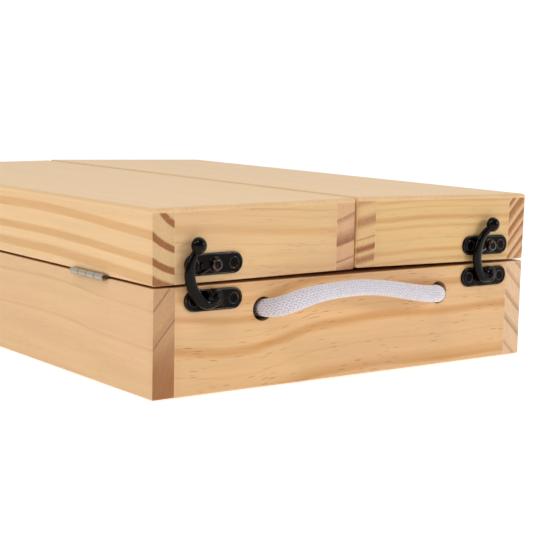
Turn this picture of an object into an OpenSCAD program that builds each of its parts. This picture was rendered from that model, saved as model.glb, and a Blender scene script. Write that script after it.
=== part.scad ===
// Double-lid wooden table easel box. Millimetres, +Z up, front at -Y.
// Origin: centre of the footprint, on the plane the box stands on.

/* [Case] */
// Outside width of the case, left to right
case_w = 240; // [236:1:250]
// Outside depth of the case, front to back
case_d = 328; // [322:1:340]
// Height of the base box
base_h = 52.5; // [50:0.5:58]
// Height of each lid
lid_h = 36; // [34:0.5:40]
// Gap between base and lids at the hinge edge
lid_gap = 1.0; // [0.9:0.1:1.4]
// Thickness of the solid side, front and back boards
board_t = 12; // [11:0.5:12.5]
// Thickness of the lid top skins
skin_t = 2.2; // [2:0.1:3]
// Thickness of the plywood bottom
ply_t = 3.6; // [3:0.1:5]
// Rounding of the upper outer edges
edge_r = 2.0; // [1:0.1:2.1]
// Angle at which the left lid rests ajar
left_ajar = 0.6; // [0:0.1:1]
// Angle at which the right lid rests ajar
right_ajar = 0.8; // [0:0.1:1]
// How far the left lid stands out over the base side
left_overhang = 0.5; // [0:0.1:0.6]

/* [Handle] */
// Distance between the two rope holes
rope_span = 115; // [110:1:118]
// Height of the rope holes
rope_z = 38.8; // [38:0.2:40]
// Diameter of the rope
rope_d = 8.8; // [6:0.2:8.8]
// Diameter of the rope holes
rope_hole_d = 12; // [11:0.5:13]

/* [Hardware] */
// Length of each butt hinge
hinge_len = 32; // [28:1:36]
// Distance from the case end to the hinge centre
hinge_inset = 57; // [40:1:80]
// Turn of the left hook away from upright
left_hook_turn = 22; // [0:1:30]
// Turn of the right hook away from upright
right_hook_turn = 0; // [0:1:30]

/* [Easel] */
// Length of the mast from its pivot
mast_len = 250; // [230:1:252]
// Width of the mast
mast_w = 64; // [58:1:64]
// Thickness of the mast
mast_t = 8; // [7:0.5:8]
// Distance from the pivot to the clamp
clamp_at = 135; // [100:1:150]

/* [Hidden] */
$fn = 48;
e = 0.01;
proud = 8.2;                          // how far the hooks stand in front
fy = -(case_d - proud)/2;             // front face
by = fy + case_d;                     // back face
hw = case_w/2;
lid_z = base_h + lid_gap;
top_z = lid_z + lid_h;
ax = hw + 1.8;                        // hinge axis, either side
az = base_h + lid_gap/2;
kn_r = 1.7;
leaf_t = 0.9;
leaf_w = 9.4;                         // leaf reach over the wall
hy = [fy + hinge_inset, by - hinge_inset];
seam = 0.15;
spine_x = 4;
rx = rope_span/2;
// latch stations: centre of the plates, pivot of the hook
lp_x = [-87, 90];
lh_x = [-88.3, 91.5];
lh_z = 47;
plate_lo = 45.6;
plate_hi = 62.2;
// easel pivot
my = fy + 40;
mz = 42;
mx = -42;
strut_at = 80;
strut_len = 165;
clamp_y = my + clamp_at;
wood = [0.85, 0.66, 0.44];
wood2 = [0.90, 0.74, 0.55];
bronze = [0.13, 0.10, 0.09];
steel = [0.70, 0.68, 0.64];
brass = [0.75, 0.58, 0.30];

// ---------- helpers ----------
module cut_corner(x, y, r, sx, sy) {
  translate([x, y]) difference() {
    translate([sx > 0 ? -r : -1, sy > 0 ? -r : -1]) square([r + 1, r + 1]);
    translate([-sx*r, -sy*r]) circle(r = r);
  }
}
module rrect(x0, x1, y0, y1, rbl, rbr, rtl, rtr) {
  difference() {
    translate([x0, y0]) square([x1 - x0, y1 - y0]);
    if (rbl > 0) cut_corner(x0, y0, rbl, -1, -1);
    if (rbr > 0) cut_corner(x1, y0, rbr, 1, -1);
    if (rtl > 0) cut_corner(x0, y1, rtl, -1, 1);
    if (rtr > 0) cut_corner(x1, y1, rtr, 1, 1);
  }
}
// extrude an XZ outline along Y from y0 to y1
module along_y(y0, y1) translate([0, y1, 0]) rotate([90, 0, 0]) linear_extrude(y1 - y0) children();
// extrude a YZ outline along X from x0 to x1
module along_x(x0, x1) translate([x0, 0, 0]) rotate([90, 0, 90]) linear_extrude(x1 - x0) children();
module block(x0, x1, y0, y1, z0, z1) translate([x0, y0, z0]) cube([x1 - x0, y1 - y0, z1 - z0]);
module rod_x(x0, x1, y, z, r) translate([x0, y, z]) rotate([0, 90, 0]) cylinder(r = r, h = x1 - x0);
module rod_y(y0, y1, x, z, r) translate([x, y0, z]) rotate([-90, 0, 0]) cylinder(r = r, h = y1 - y0);
module rod_z(z0, z1, x, y, r) translate([x, y, z0]) cylinder(r = r, h = z1 - z0);
module stadium(w, h) {
  square([w - h, h], center = true);
  translate([-(w - h)/2, 0]) circle(d = h);
  translate([(w - h)/2, 0]) circle(d = h);
}
module left_set() translate([-ax, 0, az]) rotate([0, -left_ajar, 0]) translate([ax, 0, -az]) children();
module right_set() translate([ax, 0, az]) rotate([0, right_ajar, 0]) translate([-ax, 0, -az]) children();

// ---------- base box ----------
module base_env() intersection() {
  along_y(fy, by) rrect(-hw, hw, 0, base_h, 1.5, 1.5, 0.6, 0.6);
  along_x(-hw - 1, hw + 1) rrect(fy, by, 0, base_h, 1.5, 1.5, 0.6, 0.6);
  linear_extrude(base_h) rrect(-hw, hw, fy, by, 0.8, 0.8, 0.8, 0.8);
}
module ply_groove() block(-hw + board_t - 4, hw - board_t + 4, fy + board_t - 4, by - board_t + 4, 4, 4 + ply_t);
module plate_screw_bores(xs, z, len) for (x = xs) for (s = [-1, 1])
  rod_y(fy - 1, fy + len, x + s*11.3, z, 1.05);
module base_front_panel() color(wood) difference() {
  intersection() { base_env(); block(-hw + board_t, hw - board_t, fy, fy + board_t, 0, base_h); }
  ply_groove();
  for (s = [-1, 1]) rod_y(fy - 1, fy + board_t + 1, s*rx, rope_z, rope_hole_d/2);
  plate_screw_bores(lp_x, plate_lo, 9);
}
module base_back_panel() color(wood) difference() {
  intersection() { base_env(); block(-hw + board_t, hw - board_t, by - board_t, by, 0, base_h); }
  ply_groove();
}
module leaf_pocket(sx, up) for (y = hy) {
  block(sx > 0 ? hw - leaf_w - 0.2 : -hw - 1, sx > 0 ? hw + 1 : -hw + leaf_w + 0.2,
    y - hinge_len/2 - 0.1, y + hinge_len/2 + 0.1,
    up ? lid_z - 1 : base_h - 0.6, up ? lid_z + 0.6 : base_h + 1);
  for (s = [-1, 1]) rod_z(up ? lid_z : base_h - 9.5, up ? lid_z + 9.5 : base_h, sx*(hw - 5.6), y + s*9, 0.95);
}
module base_side(sx) difference() {
  intersection() { base_env(); block(sx > 0 ? hw - board_t : -hw, sx > 0 ? hw : -hw + board_t, fy, by, 0, base_h); }
  ply_groove();
  leaf_pocket(sx, false);
}
module base_left_side() color(wood) base_side(-1);
module base_right_side() color(wood) base_side(1);
module base_bottom_panel() color(wood2) ply_groove();
module center_divider() color(wood2) block(-spine_x, spine_x, fy + board_t, by - board_t, 4 + ply_t, 50);
module knot_guard_board() color(wood2) block(spine_x, hw - board_t, fy + 28, fy + 34, 4 + ply_t, 46);
module long_divider() color(wood2) block(53, 59, fy + 34, by - board_t, 4 + ply_t, 46);
module cross_dividers() color(wood2) for (y = [118, 214])
  block(59, hw - board_t, fy + y, fy + y + 6, 4 + ply_t, 46);
module mast_beam() color(wood2) block(-hw + board_t, -spine_x, fy + 30, fy + 46, 4 + ply_t, 34);
module ratchet_rail() color(wood2) along_x(mx - 18, mx + 18) {
  translate([my + 164, 4 + ply_t]) square([50, 1.6]);
  for (i = [0:3]) translate([my + 176.2 + i*9.2, 4 + ply_t + 1.6 - e]) polygon([[0, 0], [8.6, 0], [0, 0.9]]);
}
module mast_brackets() color(brass) for (s = [-1, 1]) {
  x = mx + s*(mast_w/2 + 1.2);
  difference() {
    union() {
      block(min(x, x + s*2), max(x, x + s*2), fy + 34, my, 34, mz + 4);
      rod_x(min(x, x + s*2), max(x, x + s*2), my, mz, 4);
      block(min(x, x + s*2), max(x, x + s*2), my, my + 4, 34, mz);
      block(s < 0 ? x - 12 : x - 10, s < 0 ? x : x + 2, fy + 34, my + 4, 34, 35.6);
    }
    rod_x(mx - 60, mx + 60, my, mz, 2.05);
  }
}
module mast_pin() color(steel) rod_x(mx - mast_w/2 - 3.6, mx + mast_w/2 + 3.2, my, mz, 2.0);

// ---------- swing-hook latches ----------
module latch_plate(x, z) difference() {
  along_y(fy - 1, fy) translate([x, z]) stadium(32.6, 10.4);
  for (s = [-1, 1]) translate([x + s*11.3, fy - 1 - e, z]) rotate([-90, 0, 0]) {
    cylinder(r1 = 2.0, r2 = 1.1, h = 0.9);
    cylinder(r = 1.1, h = 2);
  }
}
module left_latch_base_plate() color(bronze) difference() {
  latch_plate(lp_x[0], plate_lo);
  rod_y(fy - 2, fy + 1, lh_x[0], lh_z, 1.55);
}
module right_latch_base_plate() color(bronze) difference() {
  latch_plate(lp_x[1], plate_lo);
  rod_y(fy - 2, fy + 1, lh_x[1], lh_z, 1.55);
}
module hook_rivets() color(bronze) for (x = lh_x) {
  rod_y(fy - 5.4, fy, x, lh_z, 1.5);
  intersection() {
    translate([x, fy - 3.2, lh_z]) sphere(r = 3.4);
    rod_y(fy - 7, fy - 5.4, x, lh_z, 2.8);
  }
}
module csk_screw(x, z, len) {
  translate([x, fy - 0.97, z]) rotate([-90, 0, 0]) {
    difference() {
      cylinder(r1 = 1.93, r2 = 1.03, h = 0.87);
      for (a = [0, 90]) rotate(a) translate([-1.2, -0.2, -e]) cube([2.4, 0.4, 0.45]);
    }
    translate([0, 0, 0.87]) cylinder(r = 1.0, h = len);
  }
}
module latch_base_screws() color(bronze) for (x = lp_x) for (s = [-1, 1]) csk_screw(x + s*11.3, plate_lo, 8);
module catch_plate(px, hx) {
  latch_plate(px, plate_hi);
  // boss with its round nose
  rod_y(fy - 3.2, fy - 1, hx + 1.7, plate_hi - 0.4, 2.4);
  translate([hx + 1.7, fy - 3.2, plate_hi - 0.4]) rotate([90, 0, 0]) cylinder(r1 = 2.4, r2 = 1.5, h = 0.8);
  // low catch finger reaching under the hook
  along_y(fy - 2, fy - 1) translate([hx - 2.4, plate_hi - 0.4]) stadium(9, 3.4);
}
module left_catch_plate() color(bronze) left_set() catch_plate(lp_x[0], lh_x[0]);
module right_catch_plate() color(bronze) right_set() catch_plate(lp_x[1], lh_x[1]);
module left_catch_screws() color(bronze) left_set() for (s = [-1, 1]) csk_screw(lp_x[0] + s*11.3, plate_hi, 8);
module right_catch_screws() color(bronze) right_set() for (s = [-1, 1]) csk_screw(lp_x[1] + s*11.3, plate_hi, 8);
// centre line of the crescent from its foot to its neck: across, up, width
crescent = [[-1.6, -1.6, 5.4], [-4.6, -1.6, 4.6], [-7.2, 0.8, 4.9], [-8.9, 4.6, 5.2], [-9.75, 8.8, 5.3], [-9.6, 13, 5.3],
  [-8.4, 17.2, 5.0], [-6.4, 20.5, 4.4], [-3.9, 23, 3.8], [-1.3, 24.9, 3.6], [0, 26.4, 3.6]];
module hook_arm(x, turn) translate([x, fy, lh_z]) rotate([0, -turn, 0]) difference() {
  union() {
    along_y(-5.3, -2.2) for (i = [0:len(crescent) - 2]) hull() for (j = [i, i + 1])
      translate([crescent[j][0], crescent[j][1]]) circle(d = crescent[j][2], $fn = 24);
    rod_y(-5.0, -1.1, 0, 0, 4.45);
    intersection() {
      translate([0.2, -4.2, 27]) sphere(r = 4);
      block(-5, 5, -9, -2.2, 20, 32);
    }
  }
  rod_y(-6, 0, 0, 0, 1.55);
}
module left_hook_arm() color(bronze) hook_arm(lh_x[0], left_hook_turn);
module right_hook_arm() color(bronze) hook_arm(lh_x[1], right_hook_turn);

// ---------- hinges ----------
kn = hinge_len/4;
module hinge_leaves(sx, up) for (y = hy) difference() {
  z0 = up ? az + 0.15 : az - 0.15 - leaf_t;
  union() {
    // leaf on the board edge
    block(sx > 0 ? hw - leaf_w : -ax + kn_r + 0.3, sx > 0 ? ax - kn_r - 0.3 : -hw + leaf_w,
      y - hinge_len/2, y + hinge_len/2, z0, z0 + leaf_t);
    for (i = up ? [1, 3] : [0, 2]) {
      ya = y - hinge_len/2 + i*kn + 0.2;
      yb = ya + kn - 0.4;
      block(sx > 0 ? hw - leaf_w : -ax, sx > 0 ? ax : -hw + leaf_w, ya, yb, z0, z0 + leaf_t);
      rod_y(ya, yb, sx*ax, az, kn_r);
    }
  }
  rod_y(y - hinge_len, y + hinge_len, sx*ax, az, 0.85);
  for (s = [-1, 1]) translate([sx*(hw - 5.6), y + s*9, up ? z0 - e : z0 + leaf_t + e]) rotate([up ? 0 : 180, 0, 0]) {
    cylinder(r1 = 1.8, r2 = 1.0, h = 0.85);
    cylinder(r = 1.0, h = 2);
  }
}
module hinge_screws(sx, up) for (y = hy) for (s = [-1, 1])
  translate([sx*(hw - 5.6), y + s*9, up ? az + 0.18 : az - 0.18]) rotate([up ? 0 : 180, 0, 0]) {
    cylinder(r1 = 1.72, r2 = 0.92, h = 0.82);
    translate([0, 0, 0.82]) cylinder(r = 0.9, h = 8);
  }
module hinge_pins(sx) for (y = hy) rod_y(y - hinge_len/2 - 0.9, y + hinge_len/2 + 0.9, sx*ax, az, 0.8);
module left_hinge_base_leaves() color(steel) hinge_leaves(-1, false);
module right_hinge_base_leaves() color(steel) hinge_leaves(1, false);
module left_hinge_pins() color(steel) hinge_pins(-1);
module right_hinge_pins() color(steel) hinge_pins(1);
module hinge_base_screws() color(steel) { hinge_screws(-1, false); hinge_screws(1, false); }
module left_hinge_lid_leaves() color(steel) left_set() hinge_leaves(-1, true);
module right_hinge_lid_leaves() color(steel) right_set() hinge_leaves(1, true);
module left_hinge_lid_screws() color(steel) left_set() hinge_screws(-1, true);
module right_hinge_lid_screws() color(steel) right_set() hinge_screws(1, true);

// ---------- lids, drawn for the left side and mirrored for the right ----------
// o is how far the lid stands out over the base side
module lid_env(o) intersection() {
  along_y(fy, by) rrect(-hw - o, -seam - o, lid_z, top_z, 1.5, 1.5, edge_r, 1.2);
  along_x(-hw - 2, 1) rrect(fy, by, lid_z, top_z, 0.8, 0.8, edge_r, edge_r);
  translate([0, 0, lid_z]) linear_extrude(lid_h) rrect(-hw - o, -seam - o, fy, by, 0.8, 1.2, 0.8, 1.2);
}
module lid_front(o, px) difference() {
  intersection() { lid_env(o); block(-hw - o + board_t, -seam - o - board_t, fy, fy + board_t, lid_z, top_z - skin_t); }
  plate_screw_bores([px], plate_hi, 9);
}
module lid_back(o) intersection() { lid_env(o); block(-hw - o + board_t, -seam - o - board_t, by - board_t, by, lid_z, top_z - skin_t); }
module lid_outer_side(o) difference() {
  intersection() { lid_env(o); block(-hw - o, -hw - o + board_t, fy, by, lid_z, top_z - skin_t); }
  leaf_pocket(-1, true);
}
module lid_seam_side(o) intersection() { lid_env(o); block(-seam - o - board_t, -seam - o, fy, by, lid_z, top_z - skin_t); }
module lid_top(o) intersection() { lid_env(o); block(-hw - o, -seam - o, fy, by, top_z - skin_t, top_z); }
module flip() mirror([1, 0, 0]) children();
module left_lid_front() color(wood) left_set() lid_front(left_overhang, lp_x[0]);
module left_lid_back() color(wood) left_set() lid_back(left_overhang);
module left_lid_outer_side() color(wood) left_set() lid_outer_side(left_overhang);
module left_lid_seam_side() color(wood) left_set() lid_seam_side(left_overhang);
module left_lid_top() color(wood2) left_set() lid_top(left_overhang);
module right_lid_front() color(wood) right_set() flip() lid_front(0, -lp_x[1]);
module right_lid_back() color(wood) right_set() flip() lid_back(0);
module right_lid_outer_side() color(wood) right_set() flip() lid_outer_side(0);
module right_lid_seam_side() color(wood) right_set() flip() lid_seam_side(0);
module right_lid_top() color(wood2) right_set() flip() lid_top(0);

// ---------- rope handle ----------
// route of the free bow, from one hole mouth to the other, relative to the front face
route = [[-53.6, -4.9, 39.4], [-51.4, -7.5, 40.8], [-48.4, -9.7, 42.2], [-44.6, -11.3, 43.7], [-39.2, -12.3, 45.3],
  [-28, -12.9, 46.8], [-12.5, -13, 47.6], [0, -13, 47.1], [10, -13, 45.9], [20, -12.9, 44.2],
  [31, -12.4, 42.1], [40, -11.2, 40.8], [46, -9.6, 40.0], [50.2, -7.4, 39.4], [53, -4.9, 38.9]];
function unit(v) = v/norm(v);
function dirs(p) = [for (i = [0:len(p) - 1]) unit(p[min(i + 1, len(p) - 1)] - p[max(i - 1, 0)])];
function ring(c, d, r) = let (u = unit(cross(d, [0, 0.3, 1])), v = cross(d, u))
  [for (k = [0:11]) c + r*(cos(30*k)*u + sin(30*k)*v)];
rr = rope_d/2;
full = [for (q = route) [q[0], q[1] + fy, q[2]]];
dd = dirs(full);
n = len(full);
d0 = [0.57, -0.8, 0.22];
d1 = [0.64, 0.77, -0.05];
// rounded ends are centred on the swing axis
rings = concat([for (a = [80, 55, 28]) ring(full[0] - unit(d0)*rr*sin(a), unit(d0), rr*cos(a))],
  [for (i = [0:n - 1]) ring(full[i], i == 0 ? unit(d0) : i == n - 1 ? unit(d1) : dd[i], rr)],
  [for (a = [28, 55, 80]) ring(full[n - 1] + unit(d1)*rr*sin(a), unit(d1), rr*cos(a))]);
module rope_handle() color("white") polyhedron(
  points = [for (r = rings) for (p = r) p],
  faces = concat(
    [for (i = [0:len(rings) - 2]) for (k = [0:11]) let (a = 12*i + k, b = 12*i + (k + 1)%12)
      for (t = [0, 1]) t == 0 ? [a, b, b + 12] : [a, b + 12, a + 12]],
    [for (k = [1:10]) [0, k + 1, k]],
    [for (k = [1:10]) let (o = 12*(len(rings) - 1)) [o, o + k, o + k + 1]]));
module rope_ends() color("white") {
  rod_y(fy + 0.1, fy + board_t + 0.4, -rx + 1.4, rope_z + 0.3, rr);
  rod_y(fy + 0.1, fy + board_t + 0.4, rx - 1.4, rope_z, rr);
}
module rope_knots() color("white") for (s = [-1, 1]) difference() {
  translate([s*rx, fy + board_t + 7.2, rope_z]) sphere(r = 7);
  block(s*rx - 8, s*rx + 8, fy + board_t - 4, fy + board_t + 0.4, rope_z - 8, rope_z + 8);
}

// ---------- easel ----------
module mast_board() color(wood2) difference() {
  union() {
    block(mx - mast_w/2, mx + mast_w/2, my, my + mast_len, mz - mast_t/2, mz + mast_t/2);
    rod_x(mx - mast_w/2, mx + mast_w/2, my, mz, mast_t/2);
  }
  rod_x(mx - 60, mx + 60, my, mz, 2.05);
  for (s = [-1, 1]) translate([mx, my + mast_len, 0]) mirror([s > 0 ? 0 : 1, 0, 0])
    translate([mast_w/2, 0, mz - 10]) linear_extrude(20) cut_corner(0, 0, 8, 1, 1);
  block(mx - 3.2, mx + 3.2, my + 60, my + 236, mz - 10, mz + 10);
}
module canvas_ledge() color(wood2) along_x(-100, -16)
  polygon([[my + 18, mz + mast_t/2], [my + 24, mz + mast_t/2], [my + 24, 57], [my + 28, 57], [my + 28, 60], [my + 18, 60]]);
module strut_blocks() color(wood2) for (s = [-1, 1]) difference() {
  x = mx + s*(mast_w/2 - 11.3);
  block(x - 3, x + 3, my + strut_at - 6, my + strut_at + 6, 29.5, mz - mast_t/2);
  rod_x(mx - 60, mx + 60, my + strut_at, mz - 8, 1.5);
}
module strut_pins() color(steel) for (s = [-1, 1])
  rod_x(s < 0 ? mx - mast_w/2 - 0.8 : mx + mast_w/2 - 14.3, s < 0 ? mx - mast_w/2 + 14.3 : mx + mast_w/2 + 0.8,
    my + strut_at, mz - 8, 1.45);
module strut_bars() color(wood2) for (s = [-1, 1]) difference() {
  x = mx + s*(mast_w/2 - 4);
  union() {
    block(x - 4, x + 4, my + strut_at, my + strut_at + strut_len, mz - 11.5, mz - 4.5);
    rod_x(x - 4, x + 4, my + strut_at, mz - 8, 3.5);
    rod_x(x - 4, x + 4, my + strut_at + strut_len, mz - 8, 3.5);
  }
  rod_x(x - 5, x + 5, my + strut_at, mz - 8, 1.55);
  rod_x(x - 5, x + 5, my + strut_at + strut_len, mz - 8, 2.5);
}
module strut_foot_dowel() color(wood2) rod_x(mx - mast_w/2, mx + mast_w/2, my + strut_at + strut_len, mz - 8, 2.46);
module canvas_clamp() color(wood2) difference() {
  union() {
    block(mx - 18, mx + 18, clamp_y - 7, clamp_y + 7, 46.3, 56.3);
    block(mx - 18, mx + 18, clamp_y - 13, clamp_y - 7 + e, 52.3, 56.3);
  }
  rod_z(40, 60, mx, clamp_y, 3.05);
}
module clamp_bolt() color(steel) union() {
  rod_z(35.4, 64, mx, clamp_y, 2.98);
  rod_z(35.4, 37.6, mx, clamp_y, 5.5);
}
module clamp_knob() color(wood2) difference() {
  rod_z(56.6, 68.6, mx, clamp_y, 8);
  rod_z(56, 66, mx, clamp_y, 3.05);
  for (k = [0:7]) rod_z(56, 69, mx + 9*cos(45*k), clamp_y + 9*sin(45*k), 2);
}

base_front_panel();
base_back_panel();
base_left_side();
base_right_side();
base_bottom_panel();
center_divider();
knot_guard_board();
long_divider();
cross_dividers();
mast_beam();
ratchet_rail();
mast_brackets();
mast_pin();
left_latch_base_plate();
right_latch_base_plate();
hook_rivets();
latch_base_screws();
left_hinge_base_leaves();
right_hinge_base_leaves();
left_hinge_pins();
right_hinge_pins();
hinge_base_screws();
rope_knots();
rope_ends();
rope_handle();
left_lid_front();
left_lid_back();
left_lid_outer_side();
left_lid_seam_side();
left_lid_top();
left_catch_plate();
left_catch_screws();
left_hinge_lid_leaves();
left_hinge_lid_screws();
right_lid_front();
right_lid_back();
right_lid_outer_side();
right_lid_seam_side();
right_lid_top();
right_catch_plate();
right_catch_screws();
right_hinge_lid_leaves();
right_hinge_lid_screws();
left_hook_arm();
right_hook_arm();
mast_board();
canvas_ledge();
strut_blocks();
strut_pins();
strut_bars();
strut_foot_dowel();
canvas_clamp();
clamp_bolt();
clamp_knob();
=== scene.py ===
import math

import bmesh
import bpy
import numpy as np
from mathutils import Matrix, Vector


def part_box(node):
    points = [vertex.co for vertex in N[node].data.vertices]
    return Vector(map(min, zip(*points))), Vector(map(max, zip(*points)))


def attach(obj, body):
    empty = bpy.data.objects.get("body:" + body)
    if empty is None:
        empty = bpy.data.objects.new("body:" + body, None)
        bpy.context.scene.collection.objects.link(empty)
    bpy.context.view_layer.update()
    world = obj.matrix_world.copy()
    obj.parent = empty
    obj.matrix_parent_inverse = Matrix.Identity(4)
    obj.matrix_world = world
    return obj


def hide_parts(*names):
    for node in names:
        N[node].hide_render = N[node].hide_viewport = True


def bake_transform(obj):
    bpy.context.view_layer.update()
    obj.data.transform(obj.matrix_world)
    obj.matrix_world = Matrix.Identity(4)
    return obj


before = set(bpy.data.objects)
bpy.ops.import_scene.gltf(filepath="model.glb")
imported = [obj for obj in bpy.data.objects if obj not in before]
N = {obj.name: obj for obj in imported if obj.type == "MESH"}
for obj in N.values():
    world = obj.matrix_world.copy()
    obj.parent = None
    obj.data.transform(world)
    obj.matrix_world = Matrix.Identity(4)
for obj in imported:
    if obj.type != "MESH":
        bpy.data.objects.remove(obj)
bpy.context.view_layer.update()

MM = 0.001

# key sizes, repeated from the part's source, in millimetres
FY = -159.9          # front face
BY = 168.1           # back face
BOARD = 12.0
ROPE_Z = 38.8
ROPE_X = 57.5
ROPE_R = 4.4
LID_Z = 53.5
TOP_Z = 89.5
LATCH_X = [-87.0, 90.0]
HOOK_X = [-88.3, 91.5]
HOOK_Z = 47.0
PLATE_LO = 45.6
PLATE_HI = 62.2
AXIS_X = 121.8
AXIS_Z = 53.0
AJAR = [0.6, 0.8]
HOOK_TURN = [22.0, 0.0]

# ------------------------------------------------------------------ camera
cam_data = bpy.data.cameras.new("view_camera")
cam_data.lens = 95.407
cam_data.sensor_width = 36.0
cam_data.sensor_fit = "HORIZONTAL"
cam_data.clip_start = 0.01
cam_data.clip_end = 50.0
cam = bpy.data.objects.new("view_camera", cam_data)
bpy.context.scene.collection.objects.link(cam)
cam.matrix_world = Matrix((
    (0.80311, 0.06184, -0.59261, -0.46999),
    (-0.59541, 0.12057, -0.79432, -0.72189),
    (0.02233, 0.99078, 0.13365, 0.14941),
    (0.0, 0.0, 0.0, 1.0),
))
bpy.context.scene.camera = cam


# ------------------------------------------------------------------ mesh helpers
def new_mesh(name, verts, faces, smooth=True, scale=MM):
    me = bpy.data.meshes.new(name)
    me.from_pydata([tuple(c * scale for c in v) for v in verts], [], faces)
    me.update()
    if smooth:
        me.polygons.foreach_set("use_smooth", [True] * len(me.polygons))
    ob = bpy.data.objects.new(name, me)
    bpy.context.scene.collection.objects.link(ob)
    return ob


def fix_normals(ob):
    bm = bmesh.new()
    bm.from_mesh(ob.data)
    bmesh.ops.recalc_face_normals(bm, faces=bm.faces)
    bm.to_mesh(ob.data)
    bm.free()


def catmull(points, step):
    """A smooth line through the points, sampled about every step."""
    p = np.array(points, float)
    p = np.vstack([2 * p[0] - p[1], p, 2 * p[-1] - p[-2]])
    out = []
    for i in range(1, len(p) - 2):
        a, b, c, d = p[i - 1], p[i], p[i + 1], p[i + 2]
        n = max(2, int(round(np.linalg.norm(c - b) / step)))
        for k in range(n):
            t = k / n
            out.append(0.5 * ((2 * b) + (c - a) * t + (2 * a - 5 * b + 4 * c - d) * t * t
                              + (-a + 3 * b - 3 * c + d) * t ** 3))
    out.append(p[-2])
    return np.array(out)


def resample(line, step):
    line = np.array(line, float)
    seg = np.linalg.norm(np.diff(line, axis=0), axis=1)
    s = np.concatenate([[0], np.cumsum(seg)])
    n = max(4, int(round(s[-1] / step)))
    at = np.linspace(0, s[-1], n + 1)
    return np.stack([np.interp(at, s, line[:, k]) for k in range(3)], 1)


def soften(line, rounds):
    line = line.copy()
    for _ in range(rounds):
        line[1:-1] = 0.25 * line[:-2] + 0.5 * line[1:-1] + 0.25 * line[2:]
    return line


def frames(line):
    """Tangent, and two normals carried along the line without twist."""
    t = np.gradient(line, axis=0)
    t /= np.linalg.norm(t, axis=1)[:, None]
    u = np.zeros_like(t)
    v = np.cross(t[0], [0.12, 0.2, 1.0])
    u[0] = v / np.linalg.norm(v)
    for i in range(1, len(t)):
        w = u[i - 1] - t[i] * np.dot(u[i - 1], t[i])
        u[i] = w / np.linalg.norm(w)
    return t, u, np.cross(t, u)


def tube(line, radius, sides=8, flat=1.0, normal=None, cap=True, closed=False):
    """Vertices and faces of a tube round a line. radius is a number or one number for each point."""
    line = np.array(line, float)
    n = len(line)
    t, u, v = frames(line)
    if normal is not None:
        v = np.array(normal, float)
        v = v - t * np.sum(v * t, axis=1)[:, None]
        v /= np.linalg.norm(v, axis=1)[:, None]
        u = np.cross(v, t)
    r = np.full(n, radius, float) if np.isscalar(radius) else np.array(radius, float)
    verts, faces = [], []
    for i in range(n):
        for k in range(sides):
            a = 2 * math.pi * k / sides
            verts.append(tuple(line[i] + r[i] * math.cos(a) * u[i] + r[i] * flat * math.sin(a) * v[i]))
    rings = n if closed else n - 1
    for i in range(rings):
        j = (i + 1) % n
        for k in range(sides):
            q = (k + 1) % sides
            faces.append((i * sides + k, i * sides + q, j * sides + q, j * sides + k))
    if cap and not closed:
        faces.append(tuple(range(sides - 1, -1, -1)))
        faces.append(tuple((n - 1) * sides + k for k in range(sides)))
    return verts, faces


def merge(parts):
    verts, faces = [], []
    for v, f in parts:
        o = len(verts)
        verts += list(v)
        faces += [tuple(i + o for i in q) for q in f]
    return verts, faces


def lathe(profile, centre, axis_y=-1.0, sides=40):
    """A turned form about the Y direction: profile is (radius, distance forward of centre)."""
    cx, cy, cz = centre
    verts, faces = [], []
    rings = []
    for r, d in profile:
        if r < 1e-6:
            rings.append([len(verts)])
            verts.append((cx, cy + axis_y * d, cz))
        else:
            ids = []
            for k in range(sides):
                a = 2 * math.pi * k / sides
                ids.append(len(verts))
                verts.append((cx + r * math.cos(a), cy + axis_y * d, cz + r * math.sin(a)))
            rings.append(ids)
    for a, b in zip(rings[:-1], rings[1:]):
        for k in range(sides):
            q = (k + 1) % sides
            if len(a) == 1 and len(b) == 1:
                continue
            if len(a) == 1:
                faces.append((a[0], b[k], b[q]))
            elif len(b) == 1:
                faces.append((a[k], b[0], a[q]))
            else:
                faces.append((a[k], b[k], b[q], a[q]))
    return verts, faces


def apply_modifiers(ob):
    bpy.context.view_layer.update()
    dg = bpy.context.evaluated_depsgraph_get()
    me = bpy.data.meshes.new_from_object(ob.evaluated_get(dg))
    ob.modifiers.clear()
    old = ob.data
    ob.data = me
    bpy.data.meshes.remove(old)


def remeshed(ob, voxel, smooth=6, factor=0.5):
    m = ob.modifiers.new("remesh", "REMESH")
    m.mode = "VOXEL"
    m.voxel_size = voxel * MM
    m.use_smooth_shade = True
    s = ob.modifiers.new("soften", "SMOOTH")
    s.factor = factor
    s.iterations = smooth
    apply_modifiers(ob)
    ob.data.polygons.foreach_set("use_smooth", [True] * len(ob.data.polygons))


# ------------------------------------------------------------------ material helpers
def srgb(r, g, b):
    out = []
    for c in (r, g, b):
        c = c / 255.0
        out.append(c / 12.92 if c <= 0.04045 else ((c + 0.055) / 1.055) ** 2.4)
    return tuple(out) + (1.0,)


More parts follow.
